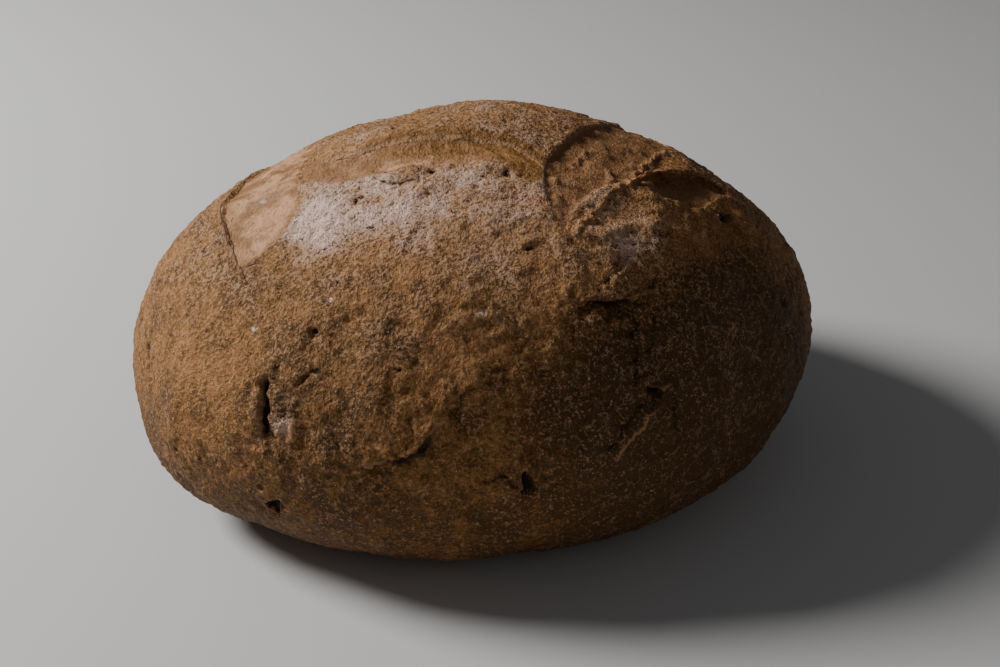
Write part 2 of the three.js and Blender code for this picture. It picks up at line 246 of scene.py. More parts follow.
# Small marks on the crust: place, height (negative is a dent) and reach, in millimetres
MARKS = {
    "oval_blister_left": ((-33, -23, 124), 0.9, 3.6),
    "oval_blister_right": ((-28, -23, 125), 0.9, 3.6),
    "blister_beside": ((-22, -31, 123), 0.6, 4),
    "dent_beside_slit": ((-75, -74, 64), -1.0, 8),
    "bump_beside_slit": ((-78, -74, 57), 0.9, 4),
    "upper_dimple": ((-58, -70, 88), -0.8, 8),
    "middle_dimple": ((-32, -83, 83), -1.0, 9),
    "low_bulge": ((20, -96, 58), 0.9, 16),
    "flake_beside_hole": ((89, -31, 96), 1.2, 4),
    "flake_on_ridge": ((57, -29, 118), 1.4, 3),
    "flake_below_ridge": ((50, -38, 114), 1.0, 3.5),
    "brow_bulge": ((50, -48, 108), 1.0, 12),
    "back_blister": ((-20, 78, 92), 1.2, 9),
    "end_blister": ((112, 30, 74), 1.0, 8),
    "low_left_flake": ((-76, -78, 34), 0.9, 5),
}

# Single pores in the crust: place, depth and width, in millimetres
PORES = {
    "pore_beside_blister": ((-20, -24, 126), 2.2, 2.8),
    "pore_in_flour": ((-46, -27, 119), 2.2, 2.8),
    "small_pore": ((-43, -40, 116), 1.6, 2.0),
    "pore_on_top": ((-27, 9, 128), 2.4, 3.6),
    "flank_pore": ((-66, -63, 91), 1.6, 2.2),
    "low_pore": ((-41, -79, 85), 1.4, 2.0),
    "dark_pore": ((4, -31, 124), 1.8, 3.6),
    "front_pore": ((4, -60, 112), 1.6, 2.2),
    "back_pore": ((22, 80, 86), 2.0, 2.8),
    "right_pore": ((96, -44, 72), 1.8, 2.6),
    "slit_mark": ((-67, -71, 82), 1.0, 2.4),
}


def smooth_step(values, low, high):
    """0 below low, 1 above high, and a smooth rise between them."""
    share = np.clip((values - low) / (high - low), 0, 1)
    return share * share * (3 - 2 * share)


def bell(distance, reach):
    """1 at no distance, falling smoothly to nearly nothing at twice the reach."""
    return np.exp(-((distance / reach) ** 2))


def distance_on_body(points, spot):
    """How far points lie from a spot, once the spot is set on the smooth body."""
    middle = on_body(np.array([spot], float))[0]
    return np.linalg.norm(points - middle, axis=1)


def on_body(points):
    """The smooth body's surface, in the directions of points seen from its middle."""
    offsets = points - (0, 0, WAIST)
    up = offsets[:, 2] >= 0
    power = np.where(up, DOME_POWER, FLANK_POWER)
    around = np.hypot(offsets[:, 0] / HALF_LENGTH, offsets[:, 1] / HALF_WIDTH)
    level = np.abs(offsets[:, 2]) / np.where(up, RISE, DROP)
    reach = (around**power + level**power) ** (-1 / power)
    return offsets * reach[:, None] + (0, 0, WAIST)


def body_normals(points):
    """Outward normals of the smooth body at points on it."""
    height = points[:, 2] - WAIST
    up = height >= 0
    power = np.where(up, DOME_POWER, FLANK_POWER)
    reach = np.where(up, RISE, DROP)
    around = np.hypot(points[:, 0] / HALF_LENGTH, points[:, 1] / HALF_WIDTH)
    steepness = np.maximum(around, 1e-6) ** (power - 2)
    level = steepness[:, None] * points[:, :2] / (HALF_LENGTH**2, HALF_WIDTH**2)
    upright = np.sign(height) * (np.abs(height) / reach) ** (power - 1) / reach
    normals = np.column_stack([level, upright])
    return normals / np.linalg.norm(normals, axis=1)[:, None]


def lay_curve(line):
    """A smooth line on the body through the given places, and the way across it."""
    corners = on_body(np.array(line, float))
    first, last = 2 * corners[0] - corners[1], 2 * corners[-1] - corners[-2]
    posts = np.vstack([first, corners, last])
    share = np.linspace(0, 1, CURVE_STEPS, endpoint=False)[:, None]
    spans = []
    for a, b, c, d in zip(posts, posts[1:], posts[2:], posts[3:]):
        slope, bend, twist = c - a, 2 * a - 5 * b + 4 * c - d, 3 * b - a - 3 * c + d
        spans.append(0.5 * (2 * b + slope * share + bend * share**2 + twist * share**3))
    points = on_body(np.vstack([*spans, corners[-1:]]))
    across = np.cross(np.gradient(points, axis=0), body_normals(points))
    return points, across / np.linalg.norm(across, axis=1)[:, None]


def opening_along(tear, stations):
    """How wide a tear is open along its line, as a share: nothing at its ends."""
    lengths = np.linalg.norm(np.diff(stations, axis=0), axis=1)
    along = np.concatenate([[0], np.cumsum(lengths)]) / lengths.sum()
    widest = tear.widest_at
    share = np.where(along < widest, along / widest, (1 - along) / (1 - widest))
    return np.sin(math.pi / 2 * np.clip(share, 0, 1)) ** tear.taper


def near_line(line, points, reach):
    """The points near a line: their numbers, the nearest station of each, the distance
    across from the line, and the distance past its ends."""
    stations, across = lay_curve(line)
    low, high = stations.min(axis=0) - reach, stations.max(axis=0) + reach
    chosen = np.nonzero(((points > low) & (points < high)).all(axis=1))[0]
    nearby = points[chosen]
    squares = (nearby**2).sum(axis=1)[:, None] + (stations**2).sum(axis=1)
    squares -= 2 * nearby @ stations.T
    nearest = squares.argmin(axis=1)
    gaps = nearby - stations[nearest]
    offset = (gaps * across[nearest]).sum(axis=1)
    away = np.sqrt(np.maximum((gaps**2).sum(axis=1) - offset**2, 0))
    return chosen, nearest, offset, away


def wobble(points, size, seed):
    """A smooth vector noise of about one unit, with waves about size long."""
    rng = np.random.default_rng(seed)
    total = np.zeros_like(points)
    for _ in range(5):
        ways = rng.normal(size=(3, 3))
        ways *= 2 * math.pi / size / np.linalg.norm(ways, axis=1)[:, None]
        ways *= rng.uniform(0.6, 1.5, (3, 1))
        total += np.sin(points @ ways.T + rng.uniform(0, 2 * math.pi, 3))
    return total / 2


def read_points(mesh):
    """The mesh's vertices in millimetres."""
    places = np.zeros(len(mesh.vertices) * 3)
    mesh.vertices.foreach_get("co", places)
    return places.reshape(-1, 3) / MM


def write_points(mesh, points):
    """Puts the mesh's vertices at places in millimetres, and none below the base."""
    points[:, 2] = np.maximum(points[:, 2], 0)
    mesh.vertices.foreach_set("co", (points * MM).ravel())
    mesh.update()


def write_share(mesh, name, values):
    """Keeps one number for each vertex, for the material to read."""
    layer = mesh.attributes.new(name, "FLOAT", "POINT")
    layer.data.foreach_set("value", values.astype(np.float32))


def read_share(mesh, name):
    """The numbers kept under a name, one for each vertex."""
    values = np.zeros(len(mesh.vertices), np.float32)
    mesh.attributes[name].data.foreach_get("value", values)
    return values.astype(float)


def write_group(piece, name, values):
    """Keeps one weight for each vertex, for a modifier to read, in ten strengths."""
    group = piece.vertex_groups.new(name=name)
    levels = np.round(np.clip(values, 0, 1) * 10).astype(int)
    for level in range(11):
        group.add(np.nonzero(levels == level)[0].tolist(), level / 10, "REPLACE")


def tear_shares(points):
    """For points near the crust: how far each lies on a score's floor or in a flank tear,
    how well baked the floor is, how crisp and how ragged the edge near it is, and how far
    it is from a lifted edge."""
    resting = on_body(points)
    depth = ((resting - points) * body_normals(resting)).sum(axis=1)
    names = ("floor", "hole", "toast", "amber", "crisp", "ragged", "crease")
    shares = {name: np.zeros(len(points)) for name in names}
    shares["to_rim"] = np.full(len(points), FAR_AWAY)

    def raise_to(name, chosen, values):
        shares[name][chosen] = np.maximum(shares[name][chosen], values)

    for name, tear in {**SCORES, **FLANK_TEARS}.items():
        chosen, nearest, across, away = near_line(tear.line, resting, tear.width + 8)
        width = tear.width * opening_along(tear, lay_curve(tear.line)[0])[nearest]
        level = away < 2.5
        sunk = (across > -4.5) * (width - across > -2) * level
        to_rim = np.hypot(across, away)
        to_far = np.hypot(across - width, away)
        nearer = np.minimum(to_rim, to_far)
        raise_to("crisp", chosen, tear.crisp * (1 - smooth_step(nearer, 1.2, 4.5)))
        raise_to("ragged", chosen, tear.ragged * (1 - smooth_step(nearer, 2, 6)))
        lifted = np.where(across < 0.5, to_rim, FAR_AWAY)
        shares["to_rim"][chosen] = np.minimum(shares["to_rim"][chosen], lifted)
        if name in FLANK_TEARS:
            below_crust = depth[chosen] - np.median(depth[chosen][nearer > 4])
            raise_to("hole", chosen, sunk * smooth_step(below_crust, 0.9, 1.7))
            continue
        inside = smooth_step(across, -0.4, 0.8) * smooth_step(width - across, -2.5, 4)
        inside = np.maximum(inside * level, sunk * smooth_step(depth[chosen], 0.8, 1.8))
        raise_to("floor", chosen, inside)
        raise_to("toast", chosen, inside * tear.toast)
        if name == "long_front":
            band = smooth_step(across, -7, -2) * (1 - smooth_step(across, 5, 12))
            along = smooth_step(nearest, 12, 32) * (1 - smooth_step(away, 1, 4))
            raise_to("amber", chosen, band * along)
    for line, middle, strength in ((CREASE, -1, 1), (SCORES["left_cross"].line, 2, 0.6)):
        chosen, _, across, away = near_line(line, resting, 12)
        nearness = np.exp(-(((across - middle) / CREASE_SIZE) ** 2))
        raise_to("crease", chosen, strength * (away < 2) * nearness)
    return shares


def flour_share(points, floor, hole, amber):
    """How thick the flour lies: most on the upper shoulders, least low down and in tears."""
    flour = 0.02 + 0.2 * smooth_step(points[:, 2], 50, 115)
    for middle, reach, strength in FLOUR_PATCHES.values():
        distance = np.linalg.norm(points - middle, axis=1)
        flour += strength * np.exp(-((distance / reach) ** 2))
    flour *= 1 - 0.5 * smooth_step(points[:, 0], 30, 100)
    flour *= 1 - 0.35 * floor
    flour *= 1 - 0.8 * amber
    flour *= 1 - 0.9 * hole
    return np.clip(flour, 0, 1)


def show_only(piece):
    """Selects one piece alone and makes it the active one."""
    bpy.ops.object.select_all(action="DESELECT")
    piece.select_set(True)
    bpy.context.view_layer.objects.active = piece


def apply_modifier(piece, kind, **settings):
    """Adds one modifier and applies it."""
    show_only(piece)
    modifier = piece.modifiers.new(kind.lower(), kind)
    for key, value in settings.items():
        setattr(modifier, key, value)
    bpy.ops.object.modifier_apply(modifier=modifier.name)


def displace(piece, pattern, height, group, **settings):
    """Moves the surface by a pattern, as far as a group of weights lets it."""
    apply_modifier(
        piece,
        "DISPLACE",
        texture=pattern,
        texture_coords="LOCAL",
        strength=height,
        vertex_group=group,
        **settings,
    )


def noise_pattern(name, kind, size, **settings):
    """A procedural pattern for relief, with features about size millimetres across."""
    pattern = bpy.data.textures.new(name, kind)
    pattern.noise_scale = size * MM
    for key, value in settings.items():
        setattr(pattern, key, value)
    return pattern


def pit_pattern(name, size, share):
    """Lone pits, one in each cell of the given size: dark in the pits, bright elsewhere."""
    pattern = noise_pattern(name, "VORONOI", size, distance_metric="DISTANCE")
    pattern.use_color_ramp = True
    ramp = pattern.color_ramp
    ramp.interpolation = "EASE"
    ramp.elements[0].position = 0
    ramp.elements[0].color = (0, 0, 0, 1)
    ramp.elements[1].position = share
    ramp.elements[1].color = (1, 1, 1, 1)
    return pattern


def crust_from_solid():
    """A fine, even mesh of the solid's form."""
    crust = bpy.data.objects.new("crust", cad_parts[LOAF].data.copy())
    bpy.context.scene.collection.objects.link(crust)
    crust.data.materials.clear()
    show_only(crust)
    bpy.ops.object.mode_set(mode="EDIT")
    bpy.ops.mesh.select_all(action="SELECT")
    bpy.ops.mesh.remove_doubles(threshold=0.001 * MM)
    bpy.ops.object.mode_set(mode="OBJECT")
    settings = bpy.context.scene.bread_crust
    apply_modifier(crust, "REMESH", mode="VOXEL", voxel_size=settings.mesh_size)
    return crust


def keep_shares(crust):
    """Works out once where the tears are, and keeps it for the modifiers and materials."""
    points = read_points(crust.data)
    shares = tear_shares(points)
    for name in ("floor", "hole", "toast", "amber", "crease", "to_rim"):
        write_share(crust.data, name, shares[name])
    lively = smooth_step(points[:, 2], 1.5, 12)
    smooth_floor = shares["floor"] * (1 - 0.8 * shares["toast"])
    write_group(crust, "away_from_edges", 1 - shares["crisp"])
    write_group(crust, "edges", lively * shares["ragged"])
    write_group(crust, "crust_relief", lively * (1 - 0.65 * smooth_floor))
    write_group(crust, "all_relief", lively)
    write_group(crust, "floor_relief", lively * shares["floor"] * (0.4 + 0.6 * shares["toast"]))


def smooth_facets(crust):
    """Smooths the solid's flat facets away, but keeps the rims of the tears crisp."""
    for rounds, group in ((1, ""), (SMOOTHING_ROUNDS, "away_from_edges")):
        apply_modifier(crust, "SMOOTH", factor=0.5, iterations=rounds, vertex_group=group)


def roughen(crust):
    """Makes the rims ragged and raises the lumps, the knobs, the grain, the folds on the
    score floors and the pits."""
    settings = bpy.context.scene.bread_crust
    for size, height in ((7, settings.rag_height), (2.6, 0.5 * settings.rag_height)):
        pattern = noise_pattern("rags", "CLOUDS", size, cloud_type="COLOR", noise_depth=1)
        displace(crust, pattern, height, "edges", mid_level=0.5, direction="RGB_TO_XYZ")
    reliefs = [
        ("lumps", 19, 1, settings.lump_height, "all_relief"),
        ("knobs", 6, 2, settings.knob_height, "crust_relief"),
        ("grain", 2.2, 1, settings.grain_height, "crust_relief"),
        ("folds", 8, 2, settings.fold_height, "floor_relief"),
    ]
    for name, size, detail, height, group in reliefs:
        pattern = noise_pattern(name, "CLOUDS", size, noise_depth=detail)
        displace(crust, pattern, height, group, mid_level=0.5)
    for name, size, share, depth in (("wide_pits", 21, 0.1, 1.0), ("fine_pits", 8, 0.15, 0.6)):
        displace(crust, pit_pattern(name, size, share), depth * MM, "crust_relief", mid_level=1.0)


class ThinLines:
    """For each point, how far to one side of the nearest thin line it lies, half the line's
    width there, and how bright the line is. The side keeps its sign, so that a material can
    draw a line that is finer than the mesh."""

    def __init__(self, count):
        self.gap = np.full(count, FAR_AWAY)
        self.side = np.full(count, FAR_AWAY)
        self.half = np.full(count, -FAR_AWAY)
        self.light = np.zeros(count)

    def add(self, place, half_width, light=1.0):
        chosen, nearest, across, away = place
        distance = np.hypot(across, away)
        nearer = distance < self.gap[chosen]
        picked = chosen[nearer]
        along = nearest[nearer] / max(nearest.max(initial=1), 1)
        narrowed = half_width * (0.4 + 0.6 * np.sin(math.pi * along))
        narrowed -= np.maximum(away[nearer] - 0.5, 0)
        self.gap[picked] = distance[nearer]
        self.side[picked] = across[nearer]
        self.half[picked] = narrowed - 2 * np.maximum(distance[nearer] - 1.5, 0)
        self.light[picked] = light

    def write(self, mesh, name):
        write_share(mesh, name + "_side", self.side)
        write_share(mesh, name + "_half", self.half)


def push_marks(crust):
    """Pushes the named cracks, ridges, blisters, dents and pores in or out of the crust."""
    points = read_points(crust.data)
    resting = on_body(points)
    outward = body_normals(resting)
    wide, fine = WOBBLE_SEEDS
    shaken = resting + 0.7 * wobble(resting, 7, wide) + 0.3 * wobble(resting, 2.4, fine)
    shaken = on_body(shaken)
    lift = np.zeros(len(points))
    cracks, ridges = ThinLines(len(points)), ThinLines(len(points))
    to_pore, to_fleck = np.full((2, len(points)), FAR_AWAY)
    for crack in CRACKS:
        place = near_line(crack.line, shaken, 3 * crack.reach)
        chosen, _, across, away = place
        distance = np.hypot(across, away)
        side = np.sign(crack.lift) * across < 0
        lift[chosen] += abs(crack.lift) * side * bell(distance, crack.reach)
        lift[chosen] -= crack.depth * bell(distance, crack.half_width + 0.3)
        cracks.add(place, 0.6 * crack.half_width)
    for ridge in RIDGES:
        place = near_line(ridge.line, shaken, 4 * ridge.half_width)
        chosen, _, across, away = place
        distance = np.hypot(across, away)
        lift[chosen] += ridge.height * bell(distance, ridge.half_width)
        ridges.add(place, 0.75 * ridge.half_width, ridge.light)
    for spot, height, reach in MARKS.values():
        lift += height * bell(distance_on_body(shaken, spot), reach)
    for spot, depth, width in PORES.values():
        distance = distance_on_body(shaken, spot)
        lift -= depth * bell(distance, width / 2)
        to_pore = np.minimum(to_pore, distance - width / 2)
    for spot, width in FLECKS.values():
        distance = distance_on_body(shaken, spot)
        lift += FLECK_HEIGHT * bell(distance, width / 2)
        to_fleck = np.minimum(to_fleck, distance - width / 2)
    write_points(crust.data, points + lift[:, None] * outward)
    cracks.write(crust.data, "crack")
    ridges.write(crust.data, "ridge")
    write_share(crust.data, "ridge_light", ridges.light)
    write_share(crust.data, "to_pore", to_pore)
    write_share(crust.data, "to_fleck", to_fleck)


def thin_out(crust):
    """Takes faces out where the crust is even, down to the wanted number."""
    settings = bpy.context.scene.bread_crust
    crust.data.calc_loop_triangles()
    ratio = settings.triangle_count / len(crust.data.loop_triangles)
    crust.vertex_groups.clear()
    if ratio < 1:
        apply_modifier(crust, "DECIMATE", ratio=ratio)
    points = read_points(crust.data)
    shares = [read_share(crust.data, name) for name in ("floor", "hole", "amber")]
    write_share(crust.data, "flour", flour_share(points, *shares))
    # Low in front on the right and near the base, where the fine light threads and painted glints lie, the
    # crust is darker: partly a deeper bake, partly painted shade where the light falls off
    low_right = smooth_step(points[:, 0], -20, 40) * smooth_step(-points[:, 1], 20, 60)
    low_right *= 1 - smooth_step(points[:, 2], 80, 105)
    near_base = 1 - smooth_step(points[:, 2], 18, 62)
    write_share(crust.data, "crazing_and_low_shade", np.maximum(low_right, 0.5 * near_base))


class Shading:
    """Builds one material's nodes. Each call returns an output socket."""

    def __init__(self, name):
        self.material = bpy.data.materials.new(name)
        self.material.use_nodes = True
        self.tree = self.material.node_tree
        self.shader = self.tree.nodes["Principled BSDF"]
        self.place = self.node("TexCoord", {}).outputs["Object"]

    def feed(self, socket, value):
        if isinstance(value, bpy.types.NodeSocket):
            self.tree.links.new(value, socket)
        else:
            socket.default_value = value

    def node(self, kind, inputs, **settings):
        """A new node, which is set first and fed then."""
        node = self.tree.nodes.new("ShaderNode" + kind)
        for name, value in settings.items():
            setattr(node, name, value)
        for name, value in inputs.items():
            self.feed(node.inputs[name], value)
        return node

    def share(self, name):
        """The numbers that the mesh keeps under a name."""
        return self.node("Attribute", {}, attribute_name=name).outputs["Fac"]

    def noise(self, size, detail=2, roughness=0.5, output="Fac"):
        inputs = {"Vector": self.place, "Scale": 1 / (size * MM), "Detail": detail}
        return self.node("TexNoise", {**inputs, "Roughness": roughness}).outputs[output]

    def shaken(self, size, amount):
        """The place, moved about by a noise, so that what reads it has uneven outlines."""
        colour = self.noise(size, detail=1, output="Color")
        offset = self.node("VectorMath", {0: colour, 1: (0.5,) * 3}, operation="SUBTRACT")
        inputs = {0: offset.outputs[0], 1: (amount * MM,) * 3, 2: self.place}
        return self.node("VectorMath", inputs, operation="MULTIPLY_ADD").outputs[0]

    def cells(self, size, place):
        """A pattern of cells: the distance to a cell's middle, and its own random number."""
        node = self.node("TexVoronoi", {"Vector": place, "Scale": 1 / (size * MM)})
        return node.outputs["Distance"], node.outputs["Color"]

    def math(self, operation, first, second=0.0):
        return self.node("Math", {0: first, 1: second}, operation=operation).outputs[0]

    def product(self, *values):
        total = values[0]
        for value in values[1:]:
            total = self.math("MULTIPLY", total, value)
        return total

    def without(self, value, taken, weight=1.0):
        """A share, less what another share takes away from it."""
        rest = self.sum_of((-weight, taken), (1.0, 1.0))
        return self.math("MULTIPLY", value, rest)

    def sum_of(self, *terms):
        """Adds shares, each times its weight."""
        total = 0.0
        for weight, value in terms:
            inputs = {0: value, 1: weight, 2: total}
            total = self.node("Math", inputs, operation="MULTIPLY_ADD").outputs[0]
        return total

    def step(self, value, low, high):
        """0 below low, 1 above high, and a smooth rise between them."""
        inputs = {"Value": value, "From Min": low, "From Max": high}
        node = self.node("MapRange", inputs, interpolation_type="SMOOTHSTEP")
        return node.outputs["Result"]

    def below(self, distance, uneven, amount, low, high):
        """1 nearer than low, 0 beyond high, along an uneven outline."""
        far = self.step(self.sum_of((1.0, distance), (amount, uneven)), low, high)
        return self.without(1.0, far)

    def beyond_line(self, name):
        """How far outside the width of the nearest thin line of a kind a place lies."""
        aside = self.math("ABSOLUTE", self.share(name + "_side"))
        return self.sum_of((1.0, aside), (-1.0, self.share(name + "_half")))

    def blend(self, share, first, second):
        """The first colour, turning into the second as the share rises from 0 to 1."""
        inputs = {"Factor": share, "A": rgba(first), "B": rgba(second)}
        return self.node("Mix", inputs, data_type="RGBA").outputs["Result"]

    def ramp(self, value, *stops):
        node = self.node("ValToRGB", {"Fac": value})
        elements = node.color_ramp.elements
        while len(elements) < len(stops):
            elements.new(0.5)
        for element, (position, colour) in zip(elements, stops):
            element.position = position
            element.color = rgba(colour)
        return node.outputs["Color"]

    def bump(self, height, size, strength, normal=None):
        """The normal over a relief of the given size in millimetres."""
        inputs = {"Height": height, "Distance": size * MM, "Strength": strength}
        if normal is not None:
            inputs["Normal"] = normal
        return self.node("Bump", inputs).outputs["Normal"]

    def finish(self, **sockets):
        for name, value in sockets.items():
            self.feed(self.shader.inputs[name.replace("_", " ")], value)
        return self.material


def rgba(colour):
    """A colour with its alpha, or a socket as it is."""
    return colour if isinstance(colour, bpy.types.NodeSocket) else (*colour, 1)


def crust_material():
    """Baked crust: mottled golden brown under a grainy, patchy coat of flour, with painted shade in its
    hollows and low down, and painted highlights on its peaks and lips.
    """
    settings = bpy.context.scene.bread_crust
    make = Shading("baked_crust")
    flour = make.share("flour")
    floor = make.share("floor")
    broad = make.noise(42, detail=3)
    patchy = make.noise(11, detail=4, roughness=0.6)
    cloudy = make.noise(5, detail=4, roughness=0.6)
    speckled = make.noise(2.2, detail=3, roughness=0.6)
    wrinkled = make.noise(1.15, detail=3, roughness=0.65)
    grainy = make.noise(0.6, detail=2, roughness=0.65)
    peaks = make.sum_of((0.95, wrinkled), (0.6, speckled), (0.55, grainy), (-0.55, 1.0))
    crazing_and_low_shade = make.share("crazing_and_low_shade")  # how far the crust is crazed with fine light threads and painted glints, and darker low in front, partly as painted shade

    # Painted highlight and shade: the peaks of the fine relief are paler and its valleys darker, besides
    # the random bake and the darker low front
    toasting_and_shade = make.sum_of(
        (0.6, broad), (0.7, patchy), (-1.1, peaks), (0.45, crazing_and_low_shade), (-0.2, flour), (0.52, 1.0)
    )
    pale, golden, dark = settings.pale_crust, settings.golden_crust, settings.dark_crust
    # The crust's colour from that tone, painted shade and highlight included
    baked = make.ramp(toasting_and_shade, (0.38, pale), (0.6, golden), (0.86, dark))

    # The floors of the scores, with a soft, uneven border towards the crust below them
    toast = make.share("toast")
    open_here = make.step(make.sum_of((1.0, floor), (0.5, speckled), (0.4, patchy)), 0.8, 1.15)
    opening = make.sum_of(
        (1.2, patchy), (0.8, cloudy), (0.45, toast), (0.5, wrinkled), (-0.25, 1.0)
    )
    opened = make.blend(make.step(opening, 0.84, 1.24), settings.floor_light, settings.floor_dark)
    colour = make.blend(make.product(open_here, 0.92), baked, opened)
    colour = make.blend(make.product(make.share("crease"), 0.7), colour, golden)
    glazed = make.blend(make.step(speckled, 0.35, 0.7), settings.amber, settings.amber_light)
    band = make.sum_of((1.0, make.share("amber")), (0.5, patchy), (0.3, speckled))
    amber = make.step(band, 0.65, 1.15)
    colour = make.blend(make.product(amber, 0.85), colour, glazed)

    # Dust clings to the peaks of the crust, its pale colour there partly a painted highlight, and lies as
    # white patches where there is most
    cover = make.sum_of((1.0, flour), (0.9, patchy), (0.5, broad), (-0.7, 1.0))
    dust_and_highlight = make.step(make.sum_of((1.0, peaks), (0.42, cover)), 0.6, 0.76)
    even_floor = make.without(open_here, toast, 0.8)
    dust_and_highlight = make.without(make.without(dust_and_highlight, even_floor, 0.7), amber, 0.8)
    tint = make.blend(make.step(cover, 0.3, 1.0), settings.toasted_flour, settings.flour_colour)
    colour = make.blend(make.product(dust_and_highlight, 0.75), colour, tint)
    heaped = make.sum_of((1.0, cover), (1.0, cloudy), (0.6, speckled), (0.5, grainy))
    smear = make.step(heaped, 1.7, 2.1)
    colour = make.blend(make.product(smear, 0.85), colour, settings.flour_colour)

    # Fine light threads and painted glints, torn ridges, and lifted edges with a painted highlight
    thread_wave = make.math("ABSOLUTE", make.sum_of((1.0, make.noise(6, detail=3)), (-0.5, 1.0)))
    threads_and_glints = make.without(1.0, make.step(thread_wave, 0.006, 0.03))
    threads_and_glints = make.product(threads_and_glints, make.step(make.noise(3.4, detail=1), 0.44, 0.56))
    # Painted glints: sparse pale specks low in front, for light catching on the crust
    glint_middle, glint_number = make.cells(1.9, make.shaken(1.2, 1.4))
    painted_glints = make.without(1.0, make.step(glint_middle, 0.1, 0.26))
    painted_glints = make.product(painted_glints, make.step(glint_number, 0.6, 0.7))
    threads_and_glints = make.math("MAXIMUM", make.product(threads_and_glints, 0.35), make.product(painted_glints, 0.36))
    threads_and_glints = make.product(threads_and_glints, crazing_and_low_shade)
    colour = make.blend(threads_and_glints, colour, settings.toasted_flour)
    uneven = make.sum_of((1.2, wrinkled), (-0.6, 1.0))
    ridge = make.below(make.beyond_line("ridge"), uneven, 0.35, -0.15, 0.4)
    ridge = make.product(ridge, make.share("ridge_light"))
    colour = make.blend(make.product(ridge, 0.8), colour, settings.torn_edge)
    # Painted highlight: the crust beside lifted edges is made paler, as where light catches the lips, with
    # some toasted flour there too
    rim_highlight = make.below(make.share("to_rim"), uneven, 1.0, 0.2, 1.3)
    colour = make.blend(make.product(rim_highlight, 0.45), colour, settings.toasted_flour)
    fleck = make.below(make.share("to_fleck"), uneven, 2.5, -0.3, 0.2)
    colour = make.blend(make.product(fleck, 0.75), colour, settings.flour_colour)

    # Painted shade: holes, pores and cracks are coloured near black, for the shade that falls inside them
    crack = make.below(make.beyond_line("crack"), uneven, 0.25, -0.1, 0.3)
    pore = make.below(make.share("to_pore"), uneven, 1.0, -0.4, 0.1)
    painted_hollow_shade = make.math("MAXIMUM", make.share("hole"), pore)
    painted_hollow_shade = make.math("MAXIMUM", painted_hollow_shade, make.product(crack, 0.75))
    colour = make.blend(make.product(painted_hollow_shade, 0.9), colour, settings.hollow_shade)

    height = make.sum_of((1.3, wrinkled), (0.8, speckled), (0.4, grainy), (0.2, smear))
    height = make.without(height, even_floor, 0.35)
    normal = make.bump(height, 0.9, strength=1.0)
    normal = make.bump(threads_and_glints, 0.4, strength=0.8, normal=normal)
    roughness = make.sum_of((0.25, dust_and_highlight), (-0.2, amber), (1.0, 0.6))
    return make.finish(
        Base_Color=colour, Roughness=roughness, Normal=normal, Specular_IOR_Level=0.3
    )


def grain_mesh(crust, count):
    """Small flattened grains strewn over the crust, most where flour lies thick."""
    rng = np.random.default_rng(GRAIN_SEED)
    mesh = crust.data
    mesh.calc_loop_triangles()
    corners = np.zeros(len(mesh.loop_triangles) * 3, int)
    mesh.loop_triangles.foreach_get("vertices", corners)
    corners = corners.reshape(-1, 3)
    places = read_points(mesh)
    a, b, c = (places[corners[:, k]] for k in range(3))
    normals = np.cross(b - a, c - a)
    areas = np.linalg.norm(normals, axis=1)
    above = smooth_step(a[:, 2], 3, 12)
    bare = 1 - 0.7 * read_share(mesh, "floor")[corners].mean(axis=1)
    chance = areas * above * bare * (0.06 + read_share(mesh, "flour")[corners].mean(axis=1)) ** 1.3
    picked = rng.choice(len(chance), size=count, p=chance / chance.sum())
    s, t = rng.random((2, count))
    folded = s + t > 1
    s[folded], t[folded] = 1 - s[folded], 1 - t[folded]
    middle = a[picked] + s[:, None] * (b - a)[picked] + t[:, None] * (c - a)[picked]
    up = normals[picked] / areas[picked][:, None]
    up += rng.normal(0, 0.25, up.shape)
    up /= np.linalg.norm(up, axis=1)[:, None]
    side = np.cross(up, rng.normal(size=up.shape))
    side /= np.linalg.norm(side, axis=1)[:, None]
    front = np.cross(up, side)
    length = rng.uniform(*GRAIN_SIZES, count) / 2
    breadth = length * rng.uniform(0.5, 0.9, count)
    height = length * rng.uniform(0.25, 0.5, count)
    lift = middle + up * (height * 0.2)[:, None]
    skew = rng.uniform(-0.35, 0.35, (2, count))
    outline = [
        lift + side * length[:, None],
        lift + (front + side * skew[0][:, None]) * breadth[:, None],
        lift - side * length[:, None],
        lift - (front + side * skew[1][:, None]) * breadth[:, None],
    ]
    tops = lift + up * height[:, None]
    feet = lift - up * height[:, None]
    points = np.stack([*outline, tops, feet], axis=1).reshape(-1, 3)
    shape = [(0, 1, 4), (1, 2, 4), (2, 3, 4), (3, 0, 4), (1, 0, 5), (2, 1, 5), (3, 2, 5), (0, 3, 5)]
    first = 6 * np.arange(count)
    faces = (first[:, None, None] + np.array(shape)[None]).reshape(-1, 3)
    made = bpy.data.meshes.new("flour_grains")
    made.from_pydata(points * MM, [], faces.tolist())
    made.update()
    write_share(made, "tint", np.repeat(rng.random(count), 6))
    piece = bpy.data.objects.new("flour_grains", made)
    bpy.context.scene.collection.objects.link(piece)
    return piece


def grain_material():
    """Dry flour, from cream to toasted from one grain to the next."""
    settings = bpy.context.scene.bread_flour
    make = Shading("dry_flour")
    colour = make.blend(make.share("tint"), settings.light_grain, settings.toasted_grain)
    normal = make.bump(make.noise(0.35, detail=1), 0.08, strength=0.6)
    return make.finish(Base_Color=colour, Roughness=0.9, Normal=normal)


def dress(piece, material):
    """Gives a piece its material, and makes it ride with the loaf."""
    piece.data.materials.clear()
    piece.data.materials.append(material)
    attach(piece, BODY)


def length_setting(name, description, millimetres):
    """A length that a user may change."""
    return FloatProperty(
        name=name, description=description, default=millimetres * MM, unit="LENGTH"
    )


def colour_setting(name, description, colour):
    """A colour that a user may change."""
    return FloatVectorProperty(
        name=name, description=description, default=colour, subtype="COLOR"
    )


